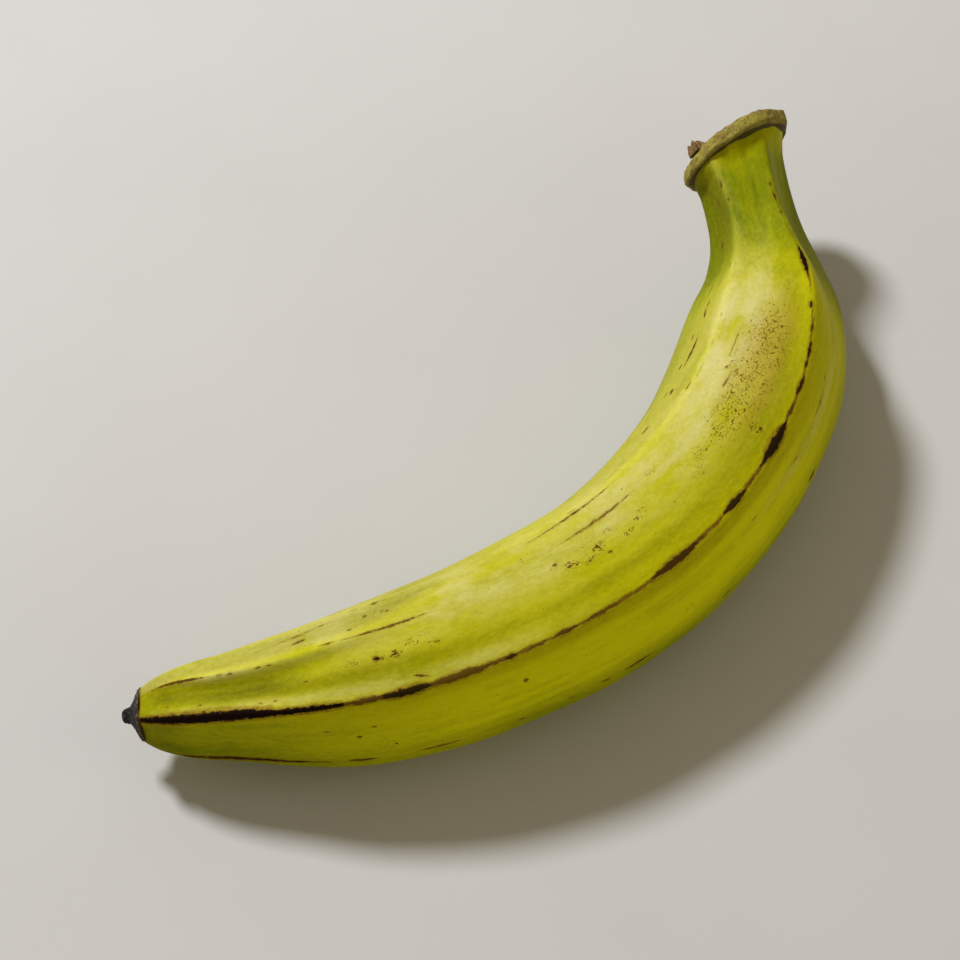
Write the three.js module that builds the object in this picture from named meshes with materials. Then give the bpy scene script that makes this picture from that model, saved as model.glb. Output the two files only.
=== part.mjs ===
// One green plantain lying on its side, in millimetres.
// The origin is under the middle of the fruit, on the surface that it lies on. +X runs from the
// dried flower end to the crown, the outside of the bend is towards -Y, and +Z is up.
//
// The whole outside is one surface, swept along a bent middle line. A point on it has two
// coordinates: how far along the middle line it is, in mm from the ring of the dried flower,
// and its angle in degrees round the middle line, from the top towards the outside of the bend.

import * as THREE from 'three';

// Driving dimensions
const LENGTH = 283; // along the middle line, from the flower's ring to the cut face of the crown
const BELLY = 25; // from the middle line to a ridge, where the fruit is thickest
const FLOWER = 5.2; // how far the dried flower stands out from its ring
const RING = 6.8; // radius of the papery ring round the dried flower
const CROWN = 16.2; // from the middle line to the edge of the crown
const RIM = 4.4; // thickness of the crown's edge
const CUT_LEAN = 20; // degrees that the crown's cut leans towards the inside of the bend
const STUB = 4.2; // height of the torn fibres left standing on the cut
const NECK_END = LENGTH - RIM; // where the peel ends and the crown's edge begins
const MIDDLE = [125, -32.3]; // middle of the fruit seen from above, measured from the ring

// Shape along the fruit. Each row is a share of the length and the value there.
const BEARING = [ // of the middle line, in degrees from +X
  [0, -41], [0.14, -35], [0.285, -23.5], [0.425, -10], [0.565, 7.5], [0.705, 24.5],
  [0.795, 38], [0.87, 53.5], [0.925, 58], [1, 56],
];
const HEIGHT = [ // of the middle line, in shares of BELLY; the belly lies down on three low spots
  [0, 0.67], [0.105, 0.807], [0.235, 0.865], [0.355, 0.94], [0.475, 0.94], [0.6, 0.975],
  [0.715, 0.967], [0.805, 1.08], [0.885, 1.26], [1, 1.55],
];
const REACH = [ // from the middle line to a ridge, in shares of BELLY
  [0, 0.27], [0.005, 0.32], [0.018, 0.405], [0.042, 0.495], [0.085, 0.59], [0.14, 0.74],
  [0.21, 0.87], [0.3, 0.94], [0.46, 0.98], [0.635, 1], [0.735, 1], [0.785, 0.955],
  [0.827, 0.85], [0.862, 0.68], [0.897, 0.562], [0.933, 0.528], [0.984, 0.56], [1, 0.58],
];
const FLATNESS = [ // of the sides between ridges: 0 is round, 1 is flat and more is hollow
  [0, 1], [0.105, 0.85], [0.245, 0.5], [0.53, 0.4], [0.74, 0.5], [0.83, 1], [0.89, 1.2],
  [0.955, 1], [1, 0.7],
];
const ROUNDING = [ // of the ridges: 0 is sharp
  [0, 0.2], [0.21, 0.3], [0.53, 0.42], [0.78, 0.32], [0.885, 0.2], [1, 0.25],
];
const SHORT_RIB = [ // angle of the short rib near the flower
  [0, -15], [0.042, -11.5], [0.081, -7.5], [0.12, -4.5], [0.2, -6], [0.35, -8],
];
const RIDGES = [ // angles of the five ridges
  [[0, -36], [0.175, -28], [0.705, -30], [0.795, -32], [0.885, -36], [1, -50]],
  [[0, 34], [0.175, 40], [0.53, 41], [0.635, 37], [0.75, 30], [0.85, 23], [0.925, 19], [1, 22]],
  [[0, 108], [0.21, 113], [0.705, 108], [1, 98]],
  [[0, 188], [0.21, 197], [0.75, 197], [1, 184]],
  [[0, 260], [0.705, 262], [0.885, 252], [1, 250]],
];

const degrees = THREE.MathUtils.degToRad;
const clamp = THREE.MathUtils.clamp;
const fade = THREE.MathUtils.smoothstep;
const bell = (distance, width) => Math.exp(-((distance / width) ** 2));
const turn = (angle, from) => THREE.MathUtils.euclideanModulo(angle - from + 180, 360) - 180;

// A smooth line through the rows: a cubic from row to row, whose slope at a row is that of the
// chord between its two neighbours.
function along(rows, share) {
  const x = clamp(share, 0, 1);
  let i = 0;
  while (i < rows.length - 2 && x > rows[i + 1][0]) i += 1;
  const slope = (k) => {
    const a = rows[Math.max(k - 1, 0)];
    const b = rows[Math.min(k + 1, rows.length - 1)];
    return (b[1] - a[1]) / (b[0] - a[0]);
  };
  const [x0, y0] = rows[i];
  const [x1, y1] = rows[i + 1];
  const width = x1 - x0;
  const t = (x - x0) / width;
  return y0 * (1 + 2 * t) * (1 - t) ** 2 + y1 * t * t * (3 - 2 * t)
    + width * (slope(i) * t * (1 - t) ** 2 - slope(i + 1) * t * t * (1 - t));
}

// The middle line seen from above, in steps of half a millimetre.
const STEPS = 2 * LENGTH;
const plan = [new THREE.Vector2(0, 0)];
for (let i = 0; i < STEPS; i += 1) {
  const bearing = degrees(along(BEARING, (i + 0.5) / STEPS));
  const step = LENGTH / STEPS;
  const last = plan[i];
  plan.push(new THREE.Vector2(last.x + step * Math.cos(bearing), last.y + step * Math.sin(bearing)));
}

// Place and directions of the middle line. It runs on straight past both of its ends.
function middle(distance) {
  const inside = clamp(distance, 0, LENGTH);
  const share = inside / LENGTH;
  const i = Math.min(Math.floor(share * STEPS), STEPS - 1);
  const flat = plan[i].clone().lerp(plan[i + 1], share * STEPS - i);
  const bearing = degrees(along(BEARING, share));
  const before = Math.max(share - 0.002, 0);
  const after = Math.min(share + 0.002, 1);
  const rise = (along(HEIGHT, after) - along(HEIGHT, before)) * BELLY / ((after - before) * LENGTH);
  const over = distance - inside;
  const place = new THREE.Vector3(
    flat.x + over * Math.cos(bearing),
    flat.y + over * Math.sin(bearing),
    along(HEIGHT, share) * BELLY + over * rise,
  );
  const forward = new THREE.Vector3(Math.cos(bearing), Math.sin(bearing), rise).normalize();
  const outward = new THREE.Vector3(Math.sin(bearing), -Math.cos(bearing), 0);
  const upward = outward.clone().cross(forward);
  return { place, forward, outward, upward };
}

// Shape of the section: 1 at a ridge and less between two of them.
function section(share, angle) {
  const ridges = RIDGES.map((rows) => along(rows, share));
  ridges.push(ridges[0] + 360);
  const a = THREE.MathUtils.euclideanModulo(angle - ridges[0], 360) + ridges[0];
  const next = ridges.findIndex((ridge, i) => i > 0 && a <= ridge);
  const half = (ridges[next] - ridges[next - 1]) / 2;
  const away = Math.min(a - ridges[next - 1], ridges[next] - a) / half;
  const soft = along(ROUNDING, share);
  const eased = (Math.hypot(away, soft) - soft) / (Math.hypot(1, soft) - soft);
  const chord = Math.cos(degrees(half)) / Math.cos(degrees(half * (1 - eased)));
  return 1 + along(FLATNESS, share) * (chord - 1);
}

// Distance of the peel from the middle line.
function peel(distance, angle) {
  const share = distance / LENGTH;
  const crest = 0.45 * fade(distance, 2, 20) * (1 - fade(share, 0.925, 0.975));
  let reach = along(REACH, share) * BELLY * section(share, angle);
  for (const rows of RIDGES) reach += crest * bell(turn(angle, along(rows, share)), 4.5);
  // A shallow hollow follows the upper side of the main ridge.
  const upper = along(RIDGES[1], share) - 13;
  reach -= 0.35 * bell(turn(angle, upper), 6) * fade(share, 0.018, 0.09) * (1 - fade(share, 0.42, 0.64));
  // Near the flower a short rib stands beside a valley that fades out on the belly.
  const rib = turn(angle, along(SHORT_RIB, share));
  reach += 1 * bell(rib, 5) * fade(share, 0.007, 0.035) * (1 - fade(share, 0.14, 0.3));
  reach -= 1.1 * bell(rib - 14, 9) * fade(share, 0.02, 0.08) * (1 - fade(share, 0.13, 0.235));
  // Under the crown the neck flares and turns round.
  return reach + (0.89 * CROWN - reach) * fade(distance, NECK_END - 6, NECK_END + 1);
}

// Point at a distance along, an angle round and a reach from the middle line. Towards the crown
// the sections lean over with its cut, and nothing reaches below the surface that it lies on.
function point(distance, angle, reach) {
  const { place, forward, outward, upward } = middle(distance);
  const sideways = reach * Math.sin(degrees(angle));
  const lean = Math.tan(degrees(CUT_LEAN)) * fade(distance / LENGTH, 0.885, 1);
  place.addScaledVector(upward, reach * Math.cos(degrees(angle)));
  place.addScaledVector(outward, sideways);
  place.addScaledVector(forward, lean * sideways);
  place.x -= MIDDLE[0];
  place.y -= MIDDLE[1];
  place.z = Math.max(place.z, 0);
  return place;
}

// Angles of the points of one section, closer together at the ridges and at the short rib.
function angles(share) {
  const ridges = RIDGES.map((rows) => along(rows, share));
  ridges.push(ridges[0] + 360);
  const spread = [0, 0.055, 0.14, 0.28, 0.5, 0.72, 0.86, 0.945];
  const wide = [0, 0.055, 0.14, 0.21, 0.27, 0.33, 0.39, 0.46, 0.55, 0.65, 0.76, 0.86, 0.94];
  const list = [];
  for (let k = 0; k < RIDGES.length; k += 1) {
    for (const part of k === 0 ? wide : spread) {
      list.push(ridges[k] + part * (ridges[k + 1] - ridges[k]));
    }
  }
  return list;
}

// One ring of points round the middle line.
function ring(distance, reachAt) {
  return angles(clamp(distance / LENGTH, 0, 1)).map((angle) => point(distance, angle, reachAt(angle)));
}

// The dried flower: a blunt knob on a hollow cone that ends in the papery ring.
const FLOWER_PROFILE = [ // shares of FLOWER out from the ring and of RING from the middle
  [1, 0.13], [0.88, 0.25], [0.62, 0.31], [0.4, 0.53], [0.15, 0.83], [0, 1], [-0.07, 1.01],
];
function flowerRings() {
  return FLOWER_PROFILE.map(([out, wide]) => ring(-out * FLOWER, () => wide * RING));
}

// The peel: close rings where it swells from the flower and flares under the crown, and even ones
// along the belly and neck.
const SWELL = [0.9, 1.6, 3, 5, 8, 12, 16, 20];
const BELLY_RINGS = 60;
const FLARE = [6, 4.4, 3, 1.8, 0.8, 0].map((before) => NECK_END - before);
function peelRings() {
  const first = SWELL[SWELL.length - 1];
  const step = (FLARE[0] - first) / BELLY_RINGS;
  const even = Array.from({ length: BELLY_RINGS - 1 }, (_, i) => first + (i + 1) * step);
  const distances = [...SWELL, ...even, ...FLARE];
  return distances.map((distance) => ring(distance, (angle) => peel(distance, angle)));
}

// The crown: an uneven corky rim round a raised cut face, with torn fibres left near its edge.
const RIM_PROFILE = [ // mm past the neck's end, and shares of CROWN from the middle
  [0.2, 0.965], [0.9, 1.01], [RIM * 0.75, 1], [RIM, 0.95],
];
const CUT_PROFILE = [ // the same, over the cut face
  [RIM, 0.895], [RIM + 0.9, 0.86], [RIM + 1.3, 0.75], [RIM + 1.3, 0.5], [RIM + 1.1, 0.25],
];
const STUB_PLACE = [292, 0.86]; // angle round, and share of CROWN from the middle
const STUB_WIDTH = 2.3;
function uneven(angle) {
  const a = degrees(angle);
  return 1 + 0.02 * Math.sin(3 * a + 1) + 0.015 * Math.sin(7 * a) + 0.01 * Math.sin(11 * a + 2);
}
function stubRise(angle, reach) {
  const [at, share] = STUB_PLACE;
  const off = degrees(turn(angle, at)) * reach;
  return STUB * bell(Math.hypot(off, reach - share * CROWN), STUB_WIDTH);
}
function crownRings() {
  const rings = RIM_PROFILE.map(([past, wide]) => (
    ring(NECK_END + past, (angle) => wide * CROWN * uneven(angle))));
  for (const [past, wide] of CUT_PROFILE) {
    const reach = wide * CROWN;
    rings.push(angles(1).map((angle) => (
      point(NECK_END + past + stubRise(angle, reach), angle, reach * uneven(angle)))));
  }
  return rings;
}

// Closed surface over the rings, with a point in the middle of each end.
function skin(rings, firstPoint, lastPoint) {
  const round = rings[0].length;
  const points = [firstPoint, ...rings.flat(), lastPoint];
  const last = points.length - 1;
  const faces = [];
  for (let j = 0; j < round; j += 1) {
    const k = (j + 1) % round;
    faces.push(0, 1 + k, 1 + j);
    for (let i = 0; i < rings.length - 1; i += 1) {
      const here = 1 + i * round;
      const there = here + round;
      faces.push(here + j, there + k, there + j, here + j, here + k, there + k);
    }
    faces.push(last, last - round + j, last - round + k);
  }
  const geometry = new THREE.BufferGeometry().setFromPoints(points);
  geometry.setIndex(faces);
  geometry.computeVertexNormals();
  return geometry;
}

const rings = [...flowerRings(), ...peelRings(), ...crownRings()];
const geometry = skin(rings, point(-FLOWER, 0, 0), point(LENGTH + 1.1, 0, 0));
const skinGreen = new THREE.MeshStandardMaterial({ color: 0xb9b33a, roughness: 0.45, metalness: 0 });
const plantain = new THREE.Mesh(geometry, skinGreen);
plantain.name = 'plantain';

const fruit = new THREE.Group();
fruit.add(plantain);

export default fruit;
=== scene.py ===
# A green plantain on a pale table, as it looks. Lengths are in metres in the part's own frame:
# the origin is under the middle of the fruit, +X runs from the dried flower end to the crown,
# the outside of the bend is towards -Y, and +Z is up.
import math

import bpy
import numpy as np
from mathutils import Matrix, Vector


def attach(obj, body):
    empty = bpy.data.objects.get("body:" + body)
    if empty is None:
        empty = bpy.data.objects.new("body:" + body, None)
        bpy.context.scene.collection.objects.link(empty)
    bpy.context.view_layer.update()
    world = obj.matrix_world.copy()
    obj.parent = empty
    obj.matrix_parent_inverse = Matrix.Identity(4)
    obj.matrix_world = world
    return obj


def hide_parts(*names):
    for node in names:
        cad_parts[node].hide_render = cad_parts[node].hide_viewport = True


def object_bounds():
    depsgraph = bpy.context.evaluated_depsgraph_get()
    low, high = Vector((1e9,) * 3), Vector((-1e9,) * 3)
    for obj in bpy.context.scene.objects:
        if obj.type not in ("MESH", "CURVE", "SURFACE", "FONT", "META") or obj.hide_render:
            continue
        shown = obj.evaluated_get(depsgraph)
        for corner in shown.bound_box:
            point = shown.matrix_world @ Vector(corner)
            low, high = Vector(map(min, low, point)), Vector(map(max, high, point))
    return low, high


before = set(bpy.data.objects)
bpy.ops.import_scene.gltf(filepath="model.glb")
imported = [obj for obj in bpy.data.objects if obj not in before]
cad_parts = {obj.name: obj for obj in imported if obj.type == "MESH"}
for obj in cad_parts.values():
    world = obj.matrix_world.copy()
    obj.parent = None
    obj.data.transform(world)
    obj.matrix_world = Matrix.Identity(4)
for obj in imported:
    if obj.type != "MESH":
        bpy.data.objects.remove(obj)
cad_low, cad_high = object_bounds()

scene = bpy.context.scene
fruit_middle = (cad_low + cad_high) / 2

# Camera
# It looks down at the fruit from the outside of its bend, through a long lens, so that the
# crown is at the top right and the dried flower end at the lower left.
VIEW_AZIMUTH = math.radians(-44)
VIEW_ELEVATION = math.radians(58)
VIEW_DISTANCE = 0.623
VIEW_POINT = Vector((-0.0138, 0.0207, 0.022))
LENS = 85  # focal length in mm, before a sensor 36 mm wide

towards_camera = Vector((
    math.sin(VIEW_AZIMUTH) * math.cos(VIEW_ELEVATION),
    -math.cos(VIEW_AZIMUTH) * math.cos(VIEW_ELEVATION),
    math.sin(VIEW_ELEVATION),
))
camera = bpy.data.objects.new("camera", bpy.data.cameras.new("camera"))
camera.data.lens = LENS
camera.data.sensor_width = 36
camera.location = VIEW_POINT + towards_camera * VIEW_DISTANCE
camera.rotation_euler = towards_camera.to_track_quat("Z", "Y").to_euler()
scene.collection.objects.link(camera)
scene.camera = camera
scene.view_settings.view_transform = "Standard"

# Light
# One soft lamp stands behind the inside of the bend, a weak reflecting card faces the outer side,
# and pale walls all round fill the shadows, as in a small daylight studio.
WALL_COLOUR = (1.0, 0.87, 0.65, 1)
WALL_STRENGTH = 0.225


def hang_lamp(name, azimuth, height, distance, size, power, colour):
    """A round lamp that faces the middle of the fruit, from so many degrees round it and above
    the table, at a distance in metres."""
    lamp = bpy.data.objects.new(name, bpy.data.lights.new(name, "AREA"))
    lamp.data.shape = "DISK"
    lamp.data.size = size
    lamp.data.energy = power
    lamp.data.color = colour
    azimuth = math.radians(azimuth)
    height = math.radians(height)
    level = math.cos(height)
    towards = Vector((math.cos(azimuth) * level, math.sin(azimuth) * level, math.sin(height)))
    lamp.location = fruit_middle + towards * distance
    lamp.rotation_euler = towards.to_track_quat("Z", "Y").to_euler()
    scene.collection.objects.link(lamp)


hang_lamp("lamp", azimuth=92, height=48, distance=1.8, size=0.32, power=28, colour=(0.93, 0.945, 1))
hang_lamp("card", azimuth=-60, height=25, distance=1.3, size=0.9, power=1.4, colour=(1, 0.9, 0.7))

scene.world = bpy.data.worlds.new("studio walls")
scene.world.use_nodes = True
walls = scene.world.node_tree.nodes["Background"]
walls.inputs["Color"].default_value = WALL_COLOUR
walls.inputs["Strength"].default_value = WALL_STRENGTH

# Floor
# A plain pale table top, matt, with faint broad clouds. It reaches past every view and isn't
# part of the fruit.
FLOOR_SIZE = 6.0
FLOOR_COLOUR = (0.71, 0.695, 0.665, 1)
FLOOR_SHADE = (0.685, 0.67, 0.64, 1)


def put(tree, kind, inputs=(), **settings):
    """A new node of this kind. Each input is set to a value or joined to another node's output."""
    node = tree.nodes.new(kind)
    for name, value in settings.items():
        setattr(node, name, value)
    for key, value in dict(inputs).items():
        if isinstance(value, bpy.types.NodeSocket):
            tree.links.new(value, node.inputs[key])
        else:
            node.inputs[key].default_value = value
    return node


def reckon(tree, operation, *values):
    """The result of one Math node on up to three values."""
    return put(tree, "ShaderNodeMath", dict(enumerate(values)), operation=operation).outputs[0]


def between(tree, value, low, high):
    """0 below low and 1 above high, with an S-shaped rise; low may be the larger of the two."""
    inputs = {"Value": value, "From Min": low, "From Max": high}
    node = put(tree, "ShaderNodeMapRange", inputs, interpolation_type="SMOOTHSTEP")
    return node.outputs["Result"]


def tint(tree, share, colour, other, mode="MIX"):
    """A colour mixed with another by a share from 0 to 1."""
    inputs = {0: share, 6: colour, 7: other}
    node = put(tree, "ShaderNodeMix", inputs, data_type="RGBA", blend_type=mode)
    return node.outputs[2]


def grain(tree, place, scale, detail=4.0, rough=0.55):
    """Noise from 0 to 1 at so many waves a metre, or a unit of the place's own."""
    inputs = {"Vector": place, "Scale": scale, "Detail": detail, "Roughness": rough}
    return put(tree, "ShaderNodeTexNoise", inputs).outputs["Fac"]


def stretched(tree, place, scale):
    """A place scaled by three factors."""
    return put(tree, "ShaderNodeMapping", {"Vector": place, "Scale": scale}).outputs["Vector"]


def new_finish(name):
    """A material with one Principled BSDF joined to its output. Returns the three."""
    finish = bpy.data.materials.new(name)
    finish.use_nodes = True
    tree = finish.node_tree
    return finish, tree, tree.nodes["Principled BSDF"]


half = FLOOR_SIZE / 2
floor_mesh = bpy.data.meshes.new("floor")
floor_mesh.from_pydata(
    [(-half, -half, 0), (half, -half, 0), (half, half, 0), (-half, half, 0)], [], [(0, 1, 2, 3)]
)
floor = bpy.data.objects.new("floor", floor_mesh)
scene.collection.objects.link(floor)

floor_finish, tree, shader = new_finish("pale table")
place = put(tree, "ShaderNodeTexCoord").outputs["Object"]
cloudy = grain(tree, place, 9, 5)
colour = tint(tree, between(tree, cloudy, 0.3, 0.75), FLOOR_COLOUR, FLOOR_SHADE)
tree.links.new(colour, shader.inputs["Base Color"])
shader.inputs["Roughness"].default_value = 0.85
shader.inputs["Specular IOR Level"].default_value = 0.2
floor_mesh.materials.append(floor_finish)

# Peel
# The skin of the fruit grew as one piece round the flesh: five ridges, a belly that lies on
# three low spots, and a narrow neck. Its middle line bends up and away at the crown end.
LENGTH = 0.283  # along the middle line, from the flower's ring to the cut face of the crown
BELLY = 0.025  # from the middle line to a ridge, where the fruit is thickest
RIM = 0.0044  # thickness of the crown's edge
CUT_LEAN = math.radians(20)  # of the crown's cut, towards the inside of the bend
MIDDLE = (0.125, -0.0323)  # middle of the fruit seen from above, measured from the ring
CREST = 0.00045  # height of the rib on each ridge
HOLLOW = 0.00035  # depth of the hollow beside the main ridge
RIB = 0.001  # height of the short rib near the flower
VALLEY = 0.0011  # depth of the valley beside it
CROWN = 0.0162  # from the middle line to the edge of the crown
NECK_END = LENGTH - RIM  # where the peel ends and the crown's edge begins

# Shape along the fruit. Each row is a share of the length and the value there.
BEARING = [  # of the middle line, in degrees from +X
    (0, -41), (0.14, -35), (0.285, -23.5), (0.425, -10), (0.565, 7.5), (0.705, 24.5),
    (0.795, 38), (0.87, 53.5), (0.925, 58), (1, 56),
]
HEIGHT = [  # of the middle line, in shares of BELLY
    (0, 0.67), (0.105, 0.807), (0.235, 0.865), (0.355, 0.94), (0.475, 0.94), (0.6, 0.975),
    (0.715, 0.967), (0.805, 1.08), (0.885, 1.26), (1, 1.55),
]
REACH = [  # from the middle line to a ridge, in shares of BELLY
    (0, 0.27), (0.005, 0.32), (0.018, 0.405), (0.042, 0.495), (0.085, 0.59), (0.14, 0.74),
    (0.21, 0.87), (0.3, 0.94), (0.46, 0.98), (0.635, 1), (0.735, 1), (0.785, 0.955),
    (0.827, 0.85), (0.862, 0.68), (0.897, 0.562), (0.933, 0.528), (0.984, 0.56), (1, 0.58),
]
FLATNESS = [  # of the sides between ridges: 0 is round, 1 is flat and more is hollow
    (0, 1), (0.105, 0.85), (0.245, 0.5), (0.53, 0.4), (0.74, 0.5), (0.83, 1), (0.89, 1.2),
    (0.955, 1), (1, 0.7),
]
ROUNDING = [  # of the ridges: 0 is sharp
    (0, 0.2), (0.21, 0.3), (0.53, 0.42), (0.78, 0.32), (0.885, 0.2), (1, 0.25),
]
RIDGES = [  # angles of the five ridges, in degrees from the top towards the outside of the bend
    [(0, -36), (0.175, -28), (0.705, -30), (0.795, -32), (0.885, -36), (1, -50)],
    [(0, 34), (0.175, 40), (0.53, 41), (0.635, 37), (0.75, 30), (0.85, 23), (0.925, 19), (1, 22)],
    [(0, 108), (0.21, 113), (0.705, 108), (1, 98)],
    [(0, 188), (0.21, 197), (0.75, 197), (1, 184)],
    [(0, 260), (0.705, 262), (0.885, 252), (1, 250)],
]
SHORT_RIB = [  # angle of the short rib near the flower
    (0, -15), (0.042, -11.5), (0.081, -7.5), (0.12, -4.5), (0.2, -6), (0.35, -8),
]


def eased(rows, share):
    """A smooth line through the rows: cubics whose slope at a row is its neighbours' chord."""
    x, y = np.array(rows, float).T
    slope = np.empty_like(y)
    slope[1:-1] = (y[2:] - y[:-2]) / (x[2:] - x[:-2])
    slope[0] = (y[1] - y[0]) / (x[1] - x[0])
    slope[-1] = (y[-1] - y[-2]) / (x[-1] - x[-2])
    share = np.clip(share, 0, 1)
    i = np.clip(np.searchsorted(x, share, "right") - 1, 0, len(x) - 2)
    width = x[i + 1] - x[i]
    t = (share - x[i]) / width
    level = y[i] * (1 + 2 * t) * (1 - t) ** 2 + y[i + 1] * t * t * (3 - 2 * t)
    return level + width * (slope[i] * t * (1 - t) ** 2 - slope[i + 1] * t * t * (1 - t))


def fade(x, start, end):
    """0 before start and 1 after end, with an S-shaped rise between them."""
    t = np.clip((x - start) / (end - start), 0, 1)
    return t * t * (3 - 2 * t)


def bell(distance, width):
    """A bump: 1 at no distance, falling off as the square of distance over width rises."""
    return np.exp(-((distance / width) ** 2))


def turn(angle, start):
    """Degrees from start to angle, between -180 and 180."""
    return (angle - start + 180) % 360 - 180


def middle_line(along):
    """Place and directions of the middle line: the sum of steps of half a millimetre along its
    bearing, at its height. It runs on straight past both of its ends."""
    steps = round(LENGTH / 0.0005)
    bearing = np.radians(eased(BEARING, (np.arange(steps) + 0.5) / steps))
    step = LENGTH / steps
    x = np.append(0, np.cumsum(np.cos(bearing))) * step
    y = np.append(0, np.cumsum(np.sin(bearing))) * step
    inside = np.clip(along, 0, LENGTH)
    share = inside / LENGTH
    over = along - inside
    marks = np.linspace(0, 1, steps + 1)
    bearing = np.radians(eased(BEARING, share))
    before = np.maximum(share - 0.002, 0)
    after = np.minimum(share + 0.002, 1)
    rise = (eased(HEIGHT, after) - eased(HEIGHT, before)) * BELLY / ((after - before) * LENGTH)
    place = np.stack([
        np.interp(share, marks, x) + over * np.cos(bearing),
        np.interp(share, marks, y) + over * np.sin(bearing),
        eased(HEIGHT, share) * BELLY + over * rise,
    ], -1)
    forward = np.stack([np.cos(bearing), np.sin(bearing), rise], -1)
    forward /= np.linalg.norm(forward, axis=-1, keepdims=True)
    outward = np.stack([np.sin(bearing), -np.cos(bearing), 0 * bearing], -1)
    return place, forward, outward, np.cross(outward, forward)


def ridge_gap(share, angle):
    """Which ridges an angle lies between: degrees past the one before, and to the one after."""
    ridges = [eased(rows, share) for rows in RIDGES]
    ridges.append(ridges[0] + 360)
    angle = (angle - ridges[0]) % 360 + ridges[0]
    past = np.zeros_like(angle)
    left = np.zeros_like(angle)
    for before, after in zip(ridges[:-1], ridges[1:]):
        here = (angle >= before) & (angle <= after)
        past = np.where(here, angle - before, past)
        left = np.where(here, after - angle, left)
    return past, left


def section(share, angle):
    """Shape of the section: 1 at a ridge, and towards a straight or hollow chord between two."""
    past, left = ridge_gap(share, angle)
    half = (past + left) / 2
    away = np.minimum(past, left) / half
    soft = eased(ROUNDING, share)
    ease = (np.hypot(away, soft) - soft) / (np.hypot(1, soft) - soft)
    chord = np.cos(np.radians(half)) / np.cos(np.radians(half * (1 - ease)))
    return 1 + eased(FLATNESS, share) * (chord - 1)


def peel_reach(along, angle):
    """Distance of the peel from the middle line: the section times its reach, with a rib on each
    ridge, a hollow beside the main one, a short rib and valley near the flower, and a round flare
    under the crown."""
    share = along / LENGTH
    crest = CREST * fade(along, 0.002, 0.02) * (1 - fade(share, 0.925, 0.975))
    reach = eased(REACH, share) * BELLY * section(share, angle)
    for rows in RIDGES:
        reach += crest * bell(turn(angle, eased(rows, share)), 4.5)
    beside = bell(turn(angle, eased(RIDGES[1], share) - 13), 6)
    reach -= HOLLOW * beside * fade(share, 0.018, 0.09) * (1 - fade(share, 0.42, 0.64))
    rib = turn(angle, eased(SHORT_RIB, share))
    reach += RIB * bell(rib, 5) * fade(share, 0.007, 0.035) * (1 - fade(share, 0.14, 0.3))
    valley = bell(rib - 14, 9) * fade(share, 0.02, 0.08) * (1 - fade(share, 0.13, 0.235))
    reach -= VALLEY * valley
    flare = fade(along, NECK_END - 0.006, NECK_END + 0.001)
    return reach + (0.89 * CROWN - reach) * flare


def skin_point(along, angle, reach):
    """A point at a distance along, an angle round and a reach from the middle line. Towards the
    crown the sections lean over with its cut, and nothing reaches below the table."""
    place, forward, outward, upward = middle_line(along)
    sideways = reach * np.sin(np.radians(angle))
    lean = math.tan(CUT_LEAN) * fade(along / LENGTH, 0.885, 1)
    upright = reach * np.cos(np.radians(angle))
    place = place + upright[..., None] * upward + sideways[..., None] * outward
    place = place + (lean * sideways)[..., None] * forward - (*MIDDLE, 0)
    place[..., 2] = np.maximum(place[..., 2], 0)
    return place


def ripples(along, angle, seed, waves, turns, count=14):
    """Slow uneven relief between about -1 and 1: the mean of sine waves, each with its own waves
    a metre along the fruit, whole turns round it and starting point."""
    draw = np.random.default_rng(seed)
    total = np.zeros(np.broadcast(along, angle).shape)
    for _ in range(count):
        lengthwise = draw.uniform(*waves) * draw.choice((-1, 1))
        around = draw.integers(*turns)
        phase = draw.uniform(0, 2 * math.pi)
        total += np.sin(2 * math.pi * lengthwise * along + around * np.radians(angle) + phase)
    return total / math.sqrt(count)


def closed_skin(name, points, along, angle):
    """A mesh over a grid of points, rows round the fruit, closed at both ends by a point in the
    middle. It gets two UV maps: 'unrolled' has mm along and degrees round, and 'OFBake' is the
    same strip laid out between 0 and 1."""
    rows, columns = points.shape[:2]
    ends = points[[0, -1]].mean(1)
    mesh = bpy.data.meshes.new(name)
    grid = np.arange(rows * columns).reshape(rows, columns)
    right = np.roll(grid, -1, axis=1)
    quads = np.stack([grid[:-1], right[:-1], right[1:], grid[1:]], -1).reshape(-1, 4)
    low = np.full(columns, rows * columns)
    caps = np.concatenate([
        np.stack([low, right[0], grid[0]], -1), np.stack([low + 1, grid[-1], right[-1]], -1)
    ])
    mesh.from_pydata(
        np.concatenate([points.reshape(-1, 3), ends]).tolist(), [], quads.tolist() + caps.tolist()
    )
    step = 360 / columns
    here = np.broadcast_to(angle, (rows, columns))
    flat = np.stack([np.broadcast_to(along, (rows, columns)) * 1000, here], -1)
    after = flat + (0, step)
    quad_uv = np.stack([flat[:-1], after[:-1], after[1:], flat[1:]], 2).reshape(-1, 2)
    low_uv = np.stack([flat[0] + (0, step / 2), after[0], flat[0]], 1).reshape(-1, 2)
    high_uv = np.stack([flat[-1] + (0, step / 2), flat[-1], after[-1]], 1).reshape(-1, 2)
    unrolled = np.concatenate([quad_uv, low_uv, high_uv])
    mesh.uv_layers.new(name="unrolled").data.foreach_set("uv", unrolled.ravel())
    spread = (unrolled - unrolled.min(0)) / np.ptp(unrolled, axis=0) * 0.98 + 0.01
    mesh.uv_layers.new(name="OFBake").data.foreach_set("uv", spread.ravel())
    mesh.shade_smooth()
    mesh.update()
    piece = bpy.data.objects.new(name, mesh)
    scene.collection.objects.link(piece)
    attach(piece, "root")
    return piece


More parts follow.
